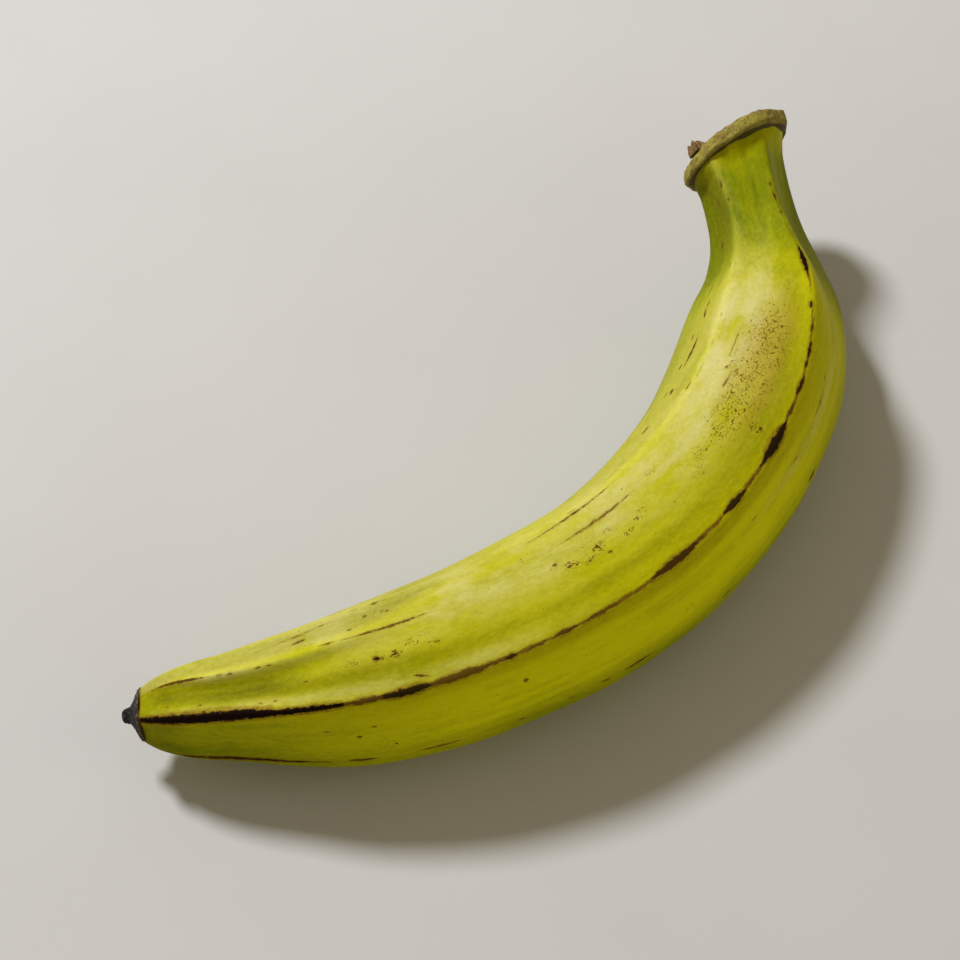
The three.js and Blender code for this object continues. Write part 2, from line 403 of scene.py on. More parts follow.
def note(piece, name, values):
    """A number at each point of a piece, for its material to read. The end points get the first
    and last rows' means."""
    values = np.concatenate([values.ravel(), values[[0, -1]].mean(1)])
    piece.data.attributes.new(name, "FLOAT", "POINT").data.foreach_set("value", values)


def note_three(piece, name, values):
    """Three numbers at each point of a piece, kept in the same way."""
    values = np.concatenate([values.reshape(-1, 3), values[[0, -1]].mean(1)]).ravel()
    piece.data.attributes.new(name, "FLOAT_VECTOR", "POINT").data.foreach_set("vector", values)


def note_place(piece, along, angle, reach):
    """The straightened place of each point: metres along, and metres up and out from a straight
    middle line, so that a pattern runs along the fruit and has no seam."""
    around = np.radians(angle)
    place = np.broadcast_arrays(along, reach * np.cos(around), reach * np.sin(around))
    note_three(piece, "straight", np.stack(place, -1))


# The grid of the peel: close rows where it swells from the flower, and even ones after that. The
# first row turns in behind the flower's ring.
PEEL_COLUMNS = 210
SWELLINGS = 0.00011  # height of the slow unevenness
WRINKLES = 0.00006  # height of the fine wrinkles that run along the fruit

peel_along = np.concatenate([
    [0.0004], np.linspace(0.0006, 0.012, 40), np.linspace(0.0126, NECK_END + 0.0004, 425)
])[:, None]
peel_angle = np.linspace(-175, 185, PEEL_COLUMNS, endpoint=False)[None]
peel_share = peel_along / LENGTH


def stretch(rise, full, ebb, end):
    """1 on the part of the peel from full to ebb, in shares of the length, and 0 before rise and
    after end, with S-shaped slopes."""
    return fade(peel_share, rise, full) * (1 - fade(peel_share, ebb, end))


reach = peel_reach(peel_along, peel_angle)
uneven = stretch(0.02, 0.12, 0.93, 0.98)
reach += SWELLINGS * uneven * ripples(peel_along, peel_angle, 3, (8, 34), (2, 7))
wrinkled = uneven * (1 - 0.75 * fade(peel_share, 0.8, 0.88))
reach += WRINKLES * wrinkled * ripples(peel_along, peel_angle, 8, (2, 12), (14, 30))
reach[0] *= 0.6
peel = closed_skin("peel", skin_point(peel_along, peel_angle, reach), peel_along, peel_angle)
note_place(peel, peel_along, peel_angle, reach)
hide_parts("plantain")

# How far each point is from the nearest ridge, in degrees, and from the ridges that the colours
# of the peel follow.
past, left = ridge_gap(peel_share, peel_angle)
note(peel, "from_ridge", np.minimum(past, left))
from_main = turn(peel_angle, eased(RIDGES[1], peel_share))
from_top_ridge = turn(peel_angle, eased(RIDGES[0], peel_share))
from_rib = turn(peel_angle, eased(SHORT_RIB, peel_share))
outer_side = fade(turn(peel_angle, 45), 0, 8)

# Where it is greener: the neck, near the flower and low down on the sides.
neck = fade(peel_share, 0.785, 0.895) * (1 - 0.6 * fade(peel_share, 0.955, 0.98))
near_flower = 1 - fade(peel_share, 0.06, 0.22)
low_down = fade(np.abs(turn(peel_angle, 5)), 70, 105) * (0.35 + 0.25 * fade(peel_share, 0.25, 0.4))
green = 0.85 * neck + low_down + (0.2 + 0.4 * outer_side) * near_flower
note(peel, "green", np.clip(green, 0, 1))

# Painted light: the side on the outside of the bend, just under the main ridge, is painted
# brighter, as if more light fell on it.
painted_light = outer_side * (1 - fade(turn(peel_angle, 45), 35, 70)) * stretch(0.08, 0.25, 0.55, 0.75)
note(peel, "painted_light", painted_light)

# Painted highlight: a pale sheen is painted where light catches the top of the belly, the ridge
# nearest the top, the shoulder, the short rib and the side behind it, a thin band on the outer
# side, and a fringe above the main ridge.
top = bell(turn(peel_angle, -15), 22) * stretch(0.12, 0.3, 0.7, 0.86)
top_ridge = bell(from_top_ridge - 1, 7) * fade(peel_share, 0.6, 0.72)
top_ridge = top_ridge * (1 - 0.7 * fade(peel_share, 0.8, 0.87))
shoulder = bell(turn(peel_angle, -11), 14) * bell(peel_share - 0.775, 0.07)
rib_top = bell(from_rib - 1, 4) * stretch(0.02, 0.06, 0.17, 0.22)
behind_rib = fade(-from_rib, 1, 8) * (1 - fade(peel_share, 0.17, 0.24))
side_band = bell(turn(peel_angle, 62), 4) * stretch(0.55, 0.65, 0.8, 0.88)
fringe = bell(from_main + 7, 4.5) * stretch(0.01, 0.03, 0.3, 0.45)
pale = 0.62 * top + 0.5 * top_ridge + 0.55 * shoulder + 0.5 * rib_top
pale = pale + 0.3 * behind_rib + 0.3 * side_band + 0.3 * fringe
note(peel, "pale", np.clip(pale, 0, 1))

# Painted shade: the side on the inside of the bend, up to the neck, is painted duller and darker,
# as if less light fell on it. Its upper edge follows the short rib and then the ridge nearest the
# top.
SHADE_EDGE = [  # share of the length, and degrees round
    (0, -14), (0.16, -10), (0.22, -10), (0.3, -21), (0.4, -27), (0.6, -29), (0.8, -32),
]
SHADE_SHARE = [  # share of the length, and how dull it is there
    (0, 0.35), (0.1, 0.5), (0.16, 0.65), (0.2, 0.9), (0.3, 0.95), (0.4, 0.5), (0.5, 0.9), (1, 0.9),
]
painted_shade = fade(-turn(peel_angle, eased(SHADE_EDGE, peel_share)), 0, 7)
painted_shade = painted_shade * (1 - fade(peel_share, 0.74, 0.9)) * eased(SHADE_SHARE, peel_share)
note(peel, "painted_shade", painted_shade)

# Painted shade, in olive: the valley beside the short rib, a band above the main ridge, the neck's
# facet on the inside of the bend and its outer side are darkened where shade falls, and the tip and
# the sides next to it are darkened too.
tip = 1 - fade(peel_share, 0.015, 0.05)
beside_tip = bell(turn(peel_angle, 15), 13) * stretch(0.02, 0.05, 0.11, 0.26)
outer_tip = outer_side * bell(peel_share - 0.2, 0.07)
valley = fade(from_rib, 5, 11) * (1 - fade(from_rib, 20, 36)) * stretch(0.006, 0.03, 0.115, 0.17)
band = bell(from_main + 16, 13) * stretch(0.02, 0.08, 0.8, 0.87)
band = band * (0.12 + 0.36 * bell(peel_share - 0.215, 0.08) + 0.4 * bell(peel_share - 0.68, 0.12))
facet = fade(-turn(peel_angle, -40), 0, 12) * fade(peel_share, 0.79, 0.92)
outer_neck = fade(from_main, 14, 34) * (1 - fade(from_main, 120, 150))
outer_neck = outer_neck * bell(peel_share - 0.862, 0.042)
painted_olive_shade = 0.42 * tip + 0.26 * beside_tip + 0.2 * outer_tip + 0.5 * valley
painted_olive_shade = painted_olive_shade + band + 0.62 * facet + 0.6 * outer_neck
note(peel, "painted_olive_shade", np.clip(painted_olive_shade, 0, 1))


def new_group(name, takes, gives):
    """An empty shader node group with named inputs and outputs. Each input is a name, a kind and
    a usual value. Returns the group and its two end nodes."""
    group = bpy.data.node_groups.new(name, "ShaderNodeTree")
    kinds = {"number": "NodeSocketFloat", "place": "NodeSocketVector"}
    for title, kind, usual in takes:
        socket = group.interface.new_socket(title, in_out="INPUT", socket_type=kinds[kind])
        if usual is not None:
            socket.default_value = usual
    for title, kind in gives:
        group.interface.new_socket(title, in_out="OUTPUT", socket_type=kinds[kind])
    return group, group.nodes.new("NodeGroupInput"), group.nodes.new("NodeGroupOutput")


def use_group(tree, group, inputs):
    """The outputs of a group placed in a material with its own values."""
    return put(tree, "ShaderNodeGroup", inputs, node_tree=group).outputs


# A scar's edge: its half width less the distance across it, torn by noise that widens with it.
# Its track holds that distance and that half width, in mm, and how dark the scar is.
scar, scar_in, scar_out = new_group(
    "scar",
    [("Track", "place", None), ("Tear", "number", 0.0)],
    [("Mask", "number"), ("Dark", "number"), ("Halo", "number")],
)
track = put(scar, "ShaderNodeSeparateXYZ", {0: scar_in.outputs["Track"]}).outputs
across = reckon(scar, "ABSOLUTE", track["X"])
breadth = reckon(scar, "MAXIMUM", track["Y"], 0.0)
tearing = reckon(scar, "MULTIPLY_ADD", breadth, 0.24, 0.34)
tearing = reckon(scar, "MULTIPLY", tearing, scar_in.outputs["Tear"])
depth = reckon(scar, "SUBTRACT", reckon(scar, "ADD", track["Y"], tearing), across)
mask = between(scar, depth, -0.08, reckon(scar, "MULTIPLY_ADD", breadth, 0.28, 0.24))
halo = reckon(scar, "ADD", depth, reckon(scar, "MULTIPLY_ADD", track["Y"], 0.3, 0.45))
halo = between(scar, halo, 0.0, 0.9)
scar.links.new(mask, scar_out.inputs["Mask"])
scar.links.new(reckon(scar, "MULTIPLY", mask, track["Z"]), scar_out.inputs["Dark"])
scar.links.new(reckon(scar, "MULTIPLY", halo, track["Z"]), scar_out.inputs["Halo"])

# Specks are the peaks of a fine, twisted noise: more of them where the amount is higher.
FIRST_SPECKS = 0.715  # height of the peaks that show where the amount is 0
specks, specks_in, specks_out = new_group(
    "specks",
    [("Place", "place", None), ("Waves", "number", 1200.0), ("Amount", "number", 0.2)],
    [("Mask", "number")],
)
peaks = put(specks, "ShaderNodeTexNoise", {
    "Vector": specks_in.outputs["Place"], "Scale": specks_in.outputs["Waves"], "Detail": 2.5,
    "Roughness": 0.65, "Distortion": 0.9,
}).outputs["Fac"]
lowest = reckon(specks, "MULTIPLY_ADD", specks_in.outputs["Amount"], -0.17, FIRST_SPECKS)
over = reckon(specks, "SUBTRACT", peaks, lowest)
specks.links.new(between(specks, over, 0.0, 0.035), specks_out.inputs["Mask"])

# Scars listed one by one on tracks that run along the peel. Each has mm along, degrees round, half
# length in mm, half width in degrees, slant in degrees a mm, and darkness: 0.3 is rust, 1 black.
# At each point only a track's nearest scar shows, so scars side by side are on separate tracks.
TRACKS = {
    "main ridge": [
        (14, 38.2, 32, 7.8, 0.07, 1), (39, 40, 22, 3.4, 0, 1), (57, 40.2, 10, 2.4, 0, 0.68),
        (67, 40.2, 9, 3.4, 0, 0.9), (80, 40.2, 12, 3, 0, 0.62), (93, 40.4, 1.7, 2.3, 0, 0.85),
        (99.5, 40.4, 3, 1.6, 0, 0.6), (106, 40.2, 4, 1.9, 0, 0.7), (116, 40, 5.5, 1.7, 0, 0.6),
        (125, 39.6, 4, 1.2, 0, 0.5), (138.5, 38.8, 8.6, 3.2, 0, 0.82),
        (146.8, 38.7, 1.8, 1.4, 0, 0.7), (152, 38.4, 3.4, 1.1, 0, 0.5),
        (159.5, 38, 5.2, 2.8, 0, 0.88), (166.5, 37.6, 2.4, 1.2, 0, 0.6),
        (177.8, 36, 7.8, 3.9, -0.1, 0.92), (187, 34.2, 4, 1.5, -0.2, 0.75),
        (196, 32.7, 4, 1.9, 0, 0.88), (203.3, 31.3, 1.6, 1.6, 0, 0.85),
        (208.3, 30.4, 3.3, 1.7, -0.2, 0.88), (215, 28.6, 2, 1.6, 0, 0.7),
        (222, 25.6, 1.5, 2, 0, 0.9), (228, 24.3, 2, 0.8, -0.2, 0.5),
        (236.4, 22.1, 6.6, 2.5, -0.12, 1), (246, 20, 2, 0.8, 0, 0.4), (253.5, 18, 1, 1.6, 0, 0.8),
        (258.4, 16.6, 1.9, 1.6, -0.2, 0.9), (262.2, 15.2, 1.1, 1.9, 0, 0.8),
    ],
    "main line": [
        (62, 40, 20, 1.9, 0, 0.45), (90, 40.3, 22, 1.8, 0, 0.46), (122, 39.9, 18, 1.7, -0.02, 0.44),
        (146, 38.7, 14, 1.8, -0.03, 0.48), (168, 37.2, 12, 1.6, -0.08, 0.48),
        (190, 33.9, 10, 1.5, -0.17, 0.46), (206, 30.7, 12, 1.3, -0.22, 0.42),
        (218, 27.6, 5, 0.9, -0.3, 0.4), (230, 23.8, 5, 1, -0.27, 0.4),
        (249, 19, 9, 0.8, -0.27, 0.4),
    ],
    "short rib": [
        (11.5, -11.8, 8.8, 2.9, 0.45, 0.75), (23, -7, 1, 1.3, 0, 0.8), (25.6, -5, 0.9, 1.2, 0, 0.7),
        (32.5, -3.6, 1, 1.1, 0, 0.8), (35.2, -3.4, 0.8, 0.9, 0, 0.7),
        (43.4, -17.5, 2.2, 1, -0.3, 0.7), (50.6, -7.5, 2.4, 0.9, 0, 0.6),
        (66.5, -6.8, 12.6, 1.2, 0, 0.6), (112, -1, 0.8, 1.4, 0, 0.6),
        (129.5, -12.5, 13.5, 1.15, -0.05, 0.5), (187.5, -10.9, 3, 0.9, 0.05, 0.6),
        (192.3, -8, 1, 1, 0, 0.6), (202, -16.5, 6.4, 0.6, 0, 0.4),
    ],
    "thin line": [
        (43.5, -22.6, 9, 0.5, -0.2, 0.45), (57, -14, 0.8, 1, 0, 0.7), (62, -20, 0.8, 1, 0, 0.7),
        (65.3, -27, 0.9, 0.9, 0, 0.6), (68.2, -19, 0.8, 0.9, 0, 0.7),
        (125, -25.2, 14.8, 0.75, -0.09, 0.8), (182, -31.8, 2, 0.9, 0, 0.7),
        (192, -15, 0.9, 1, 0, 0.7),
    ],
    "top": [
        (9, 20, 0.7, 1.2, 0, 0.7), (17.5, 24.5, 0.7, 1.1, 0, 0.7), (22.5, 32.5, 0.8, 0.8, 0, 0.7),
        (32.5, 31, 0.7, 0.8, 0, 0.7), (36, 30.5, 0.6, 0.7, 0, 0.6), (44, 18.5, 0.7, 0.9, 0, 0.7),
        (62, 13.5, 1.15, 2.4, 0, 0.9), (67, 14.2, 0.8, 1.3, 0, 0.8), (71.7, 33.2, 2, 0.9, 0.9, 0.8),
        (115, 5, 1, 1.3, 0, 0.6), (120.3, 8.5, 0.7, 0.8, 0, 0.7), (124, 2.6, 0.8, 1.2, 0, 0.75),
        (126, 10.5, 0.9, 1.1, 0, 0.75),
    ],
    "inner side": [
        (34, -33, 12, 0.9, 0, 0.45), (55, -38, 3.4, 1.2, 0, 0.6), (72, -36, 5, 0.9, -0.1, 0.5),
        (96, -44, 2, 0.9, 0, 0.5), (165, -46, 2, 1.1, 0, 0.8), (181.3, -47.4, 1.7, 1.5, -0.4, 0.9),
        (200.5, -50.2, 7.8, 1.6, 0.05, 0.9), (219, -54.5, 3.2, 1.4, -1, 0.8),
        (238, -42, 1.2, 1.4, 0, 0.7), (262, -40.2, 1.2, 1.6, 0, 0.7), (268.5, -45, 1.8, 2, 0, 0.8),
    ],
    "inner side, lower": [
        (24, -70, 5, 1.4, 0, 0.7), (45, -92, 2.6, 1.2, 0, 0.7), (60, -62, 2.4, 1, 0, 0.5),
        (76, -84, 7, 1.1, -0.1, 0.6), (98, -70, 1.2, 1.6, 0, 0.7), (111, -88, 2, 1.3, 0, 0.6),
        (133, -61, 3, 0.9, 0, 0.6), (147, -78, 9, 0.9, 0.08, 0.55), (166, -86, 1.4, 1.7, 0, 0.8),
        (181, -54, 1.4, 1.2, 0, 0.8), (195, -58, 1.6, 1.3, 0, 0.8), (209, -59, 1.5, 1.2, 0, 0.8),
        (224, -57, 1.7, 1.3, 0, 0.8), (234, -74, 4, 1.2, 0.1, 0.6), (251, -82, 2, 1.7, 0, 0.7),
        (265, -70, 3, 2, 0, 0.6),
    ],
    "outer side": [
        (47, 66, 0.9, 0.8, 0, 0.6), (54.1, 74.6, 0.7, 2.2, 0, 0.7), (58, 65, 0.9, 0.8, 0, 0.6),
        (94.5, 61.5, 0.8, 2.4, 0, 0.5), (162, 59, 1.3, 0.8, 0, 0.7), (181, 59.6, 2, 0.7, 0, 0.6),
        (198, 56.8, 3.8, 0.7, 0, 0.7), (205.6, 54, 1.4, 0.8, 0, 0.7), (222, 61, 6, 0.6, -0.1, 0.5),
    ],
    "low ridge": [
        (25, 105, 23, 2.6, 0, 0.85), (54, 103, 4, 1.8, 0, 0.8), (72, 102, 5, 1.4, 0, 0.6),
        (92, 101.6, 1.6, 1, 0, 0.8), (105, 102, 1.3, 1, 0, 0.7), (114, 100.4, 1.8, 1, 0, 0.8),
        (123, 101, 4.4, 1.4, 0, 0.9), (150, 100.3, 2.2, 1, 0, 0.8), (187, 95.6, 2.4, 1.8, 0, 0.9),
        (232, 103, 5, 1.6, 0, 0.8),
    ],
    "under ridge": [
        (25, 190, 18, 3.6, 0.2, 1), (58, 196.5, 7, 1.6, 0, 0.7), (84, 197, 3, 1.3, 0, 0.8),
        (112, 197.2, 8, 1.8, 0, 0.8), (152, 197.4, 6, 2.6, 0, 1), (186, 197, 10, 1.5, 0, 0.7),
        (228, 192, 6, 2.2, 0, 0.9), (250, 188, 3, 1.6, 0, 0.7),
    ],
    "back ridge": [
        (16, 260, 13, 3.4, 0, 1), (44, 261, 6, 1.6, 0, 0.7), (78, 261.6, 9, 1.7, 0, 0.7),
        (118, 262, 4, 1.5, 0, 0.8), (166, 262, 8, 2.6, 0, 1), (198, 261, 5, 1.2, 0, 0.7),
        (221, 258, 7, 1.7, -0.15, 0.8), (245, 252.6, 4, 2, 0, 0.9),
    ],
}

# Clusters of tiny specks, placed in the same way. Here the last number is how dense they are.
CLUSTERS = {
    "first clusters": [
        (46, -11, 4, 3, 0, 0.7), (55, 12.5, 3, 4, 0, 1), (62.3, 13, 2.5, 5, 0, 1.1),
        (67, 14, 2.6, 4, 0, 1.1), (72, 9, 2.6, 5, 0, 1), (77, 15, 2, 4, 0, 0.9),
        (112, -1, 3, 3, 0, 0.7), (115.5, 5, 2.6, 5, 0, 1.1), (120, 8, 2.4, 4, 0, 0.9),
        (124.5, 3, 2.8, 4.5, 0, 1.1), (129.5, -2.6, 2.4, 3, 0, 1), (133.6, 6, 2.4, 3.4, 0, 1),
        (139.5, 1, 3.6, 4.5, 0, 0.9), (151, -15, 3, 3, 0, 0.8), (164, 1, 3, 7, 0, 0.8),
        (172, 4, 3.4, 8, 0, 0.95), (178.2, 21, 1.6, 8, 0, 1.05), (186, 2, 6, 11, 0, 0.8),
        (196, 7, 4, 7, 0, 0.9), (205, 4, 5, 9, 0, 0.8),
    ],
    "second clusters": [
        (38, -80, 5, 6, 0, 0.7), (60, 86, 6, 7, 0, 0.6), (64, -20, 4, 4, 0, 0.8),
        (75, 6, 2, 3, 0, 0.9), (88, -78, 6, 9, 0, 0.8), (96, 150, 8, 10, 0, 0.7),
        (107, -15, 3, 2, 0, 0.6), (118, -95, 5, 8, 0, 0.7), (119, -1, 2, 3, 0, 0.7),
        (127, 11, 2.2, 3, 0, 1), (130, 230, 9, 10, 0, 0.7), (132, 12, 2, 3, 0, 0.8),
        (140, 82, 7, 6, 0, 0.6), (142, -82, 5, 7, 0, 0.8), (160, 9, 3, 6, 0, 0.7),
        (168, -6, 3, 3, 0, 0.9), (170, 150, 9, 12, 0, 0.7), (176, -74, 8, 6, 0, 0.8),
        (177, 6, 3, 7, 0, 0.95), (182, -5, 4, 4, 0, 1), (191, -8, 3, 2.4, 0, 1.05),
        (196, -14, 7, 2, 0, 1), (203, -7, 5, 2.4, 0, 0.9), (210, 225, 8, 10, 0, 0.7),
        (212, 1, 5, 6, 0, 0.75), (221, -3, 5, 6, 0, 0.6), (228, -84, 7, 8, 0, 0.7),
    ],
}


def lay_track(rows):
    """At each point of the peel: mm across from the nearest scar of a track, that scar's half
    width there in mm, which shrinks as the square of the way to its ends, and its darkness."""
    centre, degrees, half_length, half_width, slant, dark = (
        np.array(column)[:, None, None] for column in zip(*rows)
    )
    past_centre = peel_along * 1000 - centre
    width = half_width * np.maximum(1 - (past_centre / half_length) ** 2, -1)
    pick = np.argmax(width - 0.05 * np.abs(past_centre), 0)[None]
    line = np.take_along_axis(degrees + slant * past_centre, pick, 0)[0]
    width = np.take_along_axis(width, pick, 0)[0]
    dark = np.take_along_axis(dark + 0 * past_centre, pick, 0)[0]
    away = turn(peel_angle, line)
    mm_a_degree = np.radians(reach * 1000)
    across = away * mm_a_degree
    width = width * mm_a_degree - 30 * fade(np.abs(away), 40, 80)
    return np.stack(np.broadcast_arrays(across, width, dark), -1)


for name, rows in (TRACKS | CLUSTERS).items():
    note_three(peel, name, lay_track(rows))

# Colours of a green plantain that has just begun to turn, and of the light, shade, sheen and glints
# painted on it.
YELLOW_GREEN = (0.61, 0.585, 0.003, 1)
# painted shade, for the side on the inside of the bend
SHADE_GREEN = (0.49, 0.46, 0.045, 1)
# painted light, for the side under the main ridge
PAINTED_LIGHT_GREEN = (0.80, 0.80, 0.003, 1)
DEEP_GREEN = (0.22, 0.26, 0.003, 1)
# painted sheen, where light catches the skin
SHEEN_STRAW = (0.78, 0.71, 0.24, 1)
# painted shade, for the hollows and the neck
SHADE_OLIVE = (0.17, 0.165, 0.003, 1)
SCAR_BLACK = (0.014, 0.006, 0.004, 1)
SCAR_BROWN = (0.115, 0.042, 0.010, 1)
SPECK_BROWN = (0.23, 0.10, 0.008, 1)
RUST = (0.29, 0.125, 0.012, 1)
STAIN_BROWN = (0.52, 0.38, 0.03, 1)
# painted glints, tiny highlights on the grain of the skin
GLINT_WHITE = (0.88, 0.84, 0.45, 1)
DARKER = (0.35, 0.35, 0.35, 1)
LIGHTER = (0.65, 0.65, 0.65, 1)


def noted(tree, name):
    """The number that was noted at each point of a piece."""
    return put(tree, "ShaderNodeAttribute", attribute_name=name).outputs["Fac"]


def noted_place(tree, name):
    """The place that was noted at each point of a piece."""
    return put(tree, "ShaderNodeAttribute", attribute_name=name).outputs["Vector"]


def coat(tree, colour, where, other, strength):
    """A colour with another laid over it: as strong as said where the mask is 1."""
    return tint(tree, reckon(tree, "MULTIPLY", where, strength), colour, other)


def emboss(tree, shader, height, strength, depth):
    """Fine relief on a finish, from a height between 0 and about 1, so deep in metres."""
    relief = {"Height": height, "Strength": strength, "Distance": depth}
    bump = put(tree, "ShaderNodeBump", relief)
    tree.links.new(bump.outputs["Normal"], shader.inputs["Normal"])


peel_finish, tree, shader = new_finish("green peel")
straight = noted_place(tree, "straight")
unrolled = put(tree, "ShaderNodeUVMap", uv_map="unrolled").outputs["UV"]

# Under the skin run fibres, which are noise drawn out along the fruit, and over it lie soft
# clouds and a fine mottle.
wide_fibres = grain(tree, stretched(tree, straight, (0.14, 1, 1)), 200, 4, 0.6)
fine_fibres = grain(tree, stretched(tree, straight, (0.25, 1, 1)), 1000, 4, 0.6)
long_bands = grain(tree, stretched(tree, straight, (0.05, 1, 1)), 230, 3, 0.5)
clouds = grain(tree, stretched(tree, straight, (0.5, 1, 1)), 95, 5, 0.65)
mottle = grain(tree, stretched(tree, straight, (0.7, 1, 1)), 900, 4, 0.65)

greener = reckon(tree, "MULTIPLY_ADD", between(tree, clouds, 0.4, 0.65), 0.2, noted(tree, "green"))
greener = reckon(tree, "MULTIPLY_ADD", between(tree, long_bands, 0.4, 0.65), 0.2, greener)
# Painted light brightens the side under the main ridge.
colour = tint(tree, noted(tree, "painted_light"), YELLOW_GREEN, PAINTED_LIGHT_GREEN)
# Painted shade darkens the side on the inside of the bend.
colour = tint(tree, noted(tree, "painted_shade"), colour, SHADE_GREEN)
colour = tint(tree, reckon(tree, "SUBTRACT", greener, 0.17), colour, DEEP_GREEN)
# Painted shade, in olive, darkens the hollows, the neck's facets and the tip.
colour = tint(tree, noted(tree, "painted_olive_shade"), colour, SHADE_OLIVE)
# The painted sheen is broken into patches by the clouds and the wide fibres.
patches = reckon(tree, "MULTIPLY_ADD", between(tree, clouds, 0.6, 0.4), 0.75, 0.1)
patches = reckon(tree, "MULTIPLY_ADD", between(tree, wide_fibres, 0.35, 0.65), 0.45, patches)
painted_sheen = reckon(tree, "MULTIPLY", noted(tree, "pale"), patches)
colour = tint(tree, painted_sheen, colour, SHEEN_STRAW)
fibre_light = tint(tree, between(tree, fine_fibres, 0.3, 0.7), DARKER, LIGHTER)
colour = tint(tree, 0.35, colour, fibre_light, "SOFT_LIGHT")
mottle_light = tint(tree, between(tree, mottle, 0.3, 0.7), DARKER, LIGHTER)
colour = tint(tree, 0.5, colour, mottle_light, "SOFT_LIGHT")

# Torn edges of the scars come from one noise that every scar shares.
tear = grain(tree, stretched(tree, straight, (0.5, 1, 1)), 950, 5, 0.78)
tear = reckon(tree, "MULTIPLY", reckon(tree, "SUBTRACT", tear, 0.5), 4.0)


def on_track(name):
    """The scar group's outputs for one track."""
    return use_group(tree, scar, {"Track": noted_place(tree, name), "Tear": tear})


mask, dark, halo = 0.0, 0.0, 0.0
for name in TRACKS:
    this = on_track(name)
    mask = reckon(tree, "MAXIMUM", mask, this["Mask"])
    dark = reckon(tree, "MAXIMUM", dark, this["Dark"])
    halo = reckon(tree, "MAXIMUM", halo, this["Halo"])

# Specks gather in patches along the top of the belly and thin out elsewhere.
spot = put(tree, "ShaderNodeSeparateXYZ", {0: unrolled}).outputs  # mm along and degrees round


def patch(along, angle, half_length, half_width):
    """1 in the middle of an oval patch of the peel and 0 outside it."""
    x = reckon(tree, "DIVIDE", reckon(tree, "SUBTRACT", spot["X"], along), half_length)
    y = reckon(tree, "DIVIDE", reckon(tree, "SUBTRACT", spot["Y"], angle), half_width)
    away = reckon(tree, "ADD", reckon(tree, "MULTIPLY", x, x), reckon(tree, "MULTIPLY", y, y))
    return between(tree, away, 1.0, 0.0)


crowd = 0.0
for shape, amount in (
    (patch(196, 3, 42, 27), 1.0), (patch(125, 4, 19, 14), 0.4), (patch(69, 13, 18, 15), 0.4),
    (patch(48, -20, 28, 10), 0.35), (patch(190, -52, 45, 12), 0.4), (patch(190, 57, 40, 6), 0.4),
    (patch(140, -20, 130, 60), 0.12),
):
    crowd = reckon(tree, "MAXIMUM", crowd, reckon(tree, "MULTIPLY", shape, amount))
crowd = reckon(tree, "MULTIPLY", crowd, between(tree, clouds, 0.2, 0.55))
for name in CLUSTERS:
    crowd = reckon(tree, "MAXIMUM", crowd, on_track(name)["Dark"])


def specks_at(tree, place, waves, amount):
    """The mask of the specks group at a place: more waves a metre make finer specks."""
    return use_group(tree, specks, {"Place": place, "Waves": waves, "Amount": amount})["Mask"]


drawn_out = stretched(tree, straight, (0.75, 1, 1))
fine_specks = specks_at(tree, drawn_out, 1900, crowd)
large_specks = specks_at(tree, drawn_out, 850, reckon(tree, "MULTIPLY_ADD", crowd, 0.9, -0.15))
# Painted glints: fine pale flecks of light on the skin's grain, thickest where the sheen is
# painted.
painted_glints = specks_at(tree, straight, 2300, reckon(tree, "MULTIPLY_ADD", painted_sheen, 0.7, 0.25))

# A broken thin dark line runs along the ridges, and a brown stain lies over the shoulder.
dash = grain(tree, stretched(tree, straight, (0.22, 0.35, 0.35)), 420, 3, 0.6)
on_ridge = between(tree, noted(tree, "from_ridge"), 1.1, 0.4)
line = reckon(tree, "MULTIPLY", between(tree, dash, 0.6, 0.68), on_ridge)
stain = reckon(tree, "MULTIPLY", patch(198, 6, 36, 24), between(tree, wide_fibres, 0.3, 0.6))

# From the skin outwards: painted glints, the stain, rust round the scars, specks, the thin line,
# scabs from rust to black, and a brown rim at the flower's ring.
colour = coat(tree, colour, painted_glints, GLINT_WHITE, 0.3)
colour = coat(tree, colour, stain, STAIN_BROWN, 0.55)
colour = coat(tree, colour, halo, RUST, 0.55)
colour = coat(tree, colour, fine_specks, SPECK_BROWN, 0.8)
colour = coat(tree, colour, large_specks, SCAR_BROWN, 0.85)
colour = coat(tree, colour, line, SCAR_BROWN, 0.6)
scab = tint(tree, between(tree, dark, 0.3, 0.65), RUST, SCAR_BROWN)
scab = tint(tree, between(tree, dark, 0.65, 0.95), scab, SCAR_BLACK)
covered = reckon(tree, "MULTIPLY", mask, reckon(tree, "MULTIPLY_ADD", dark, 0.35, 0.65))
colour = tint(tree, covered, colour, scab)
colour = coat(tree, colour, between(tree, spot["X"], 1.6, 0.5), SCAR_BROWN, 0.8)
tree.links.new(colour, shader.inputs["Base Color"])

# The skin is satin with little sheen, and the scars are rougher and slightly sunken.
rough = reckon(tree, "MULTIPLY_ADD", mottle, 0.2, 0.33)
rough = reckon(tree, "MULTIPLY_ADD", mask, 0.12, rough)
tree.links.new(rough, shader.inputs["Roughness"])
shader.inputs["Specular IOR Level"].default_value = 0.01
height = reckon(tree, "MULTIPLY_ADD", fine_fibres, 0.25, reckon(tree, "MULTIPLY", mottle, 0.45))
height = reckon(tree, "MULTIPLY_ADD", wide_fibres, 0.4, height)
height = reckon(tree, "MULTIPLY_ADD", mask, -0.4, height)
emboss(tree, shader, height, 0.6, 0.0003)
peel.data.materials.append(peel_finish)

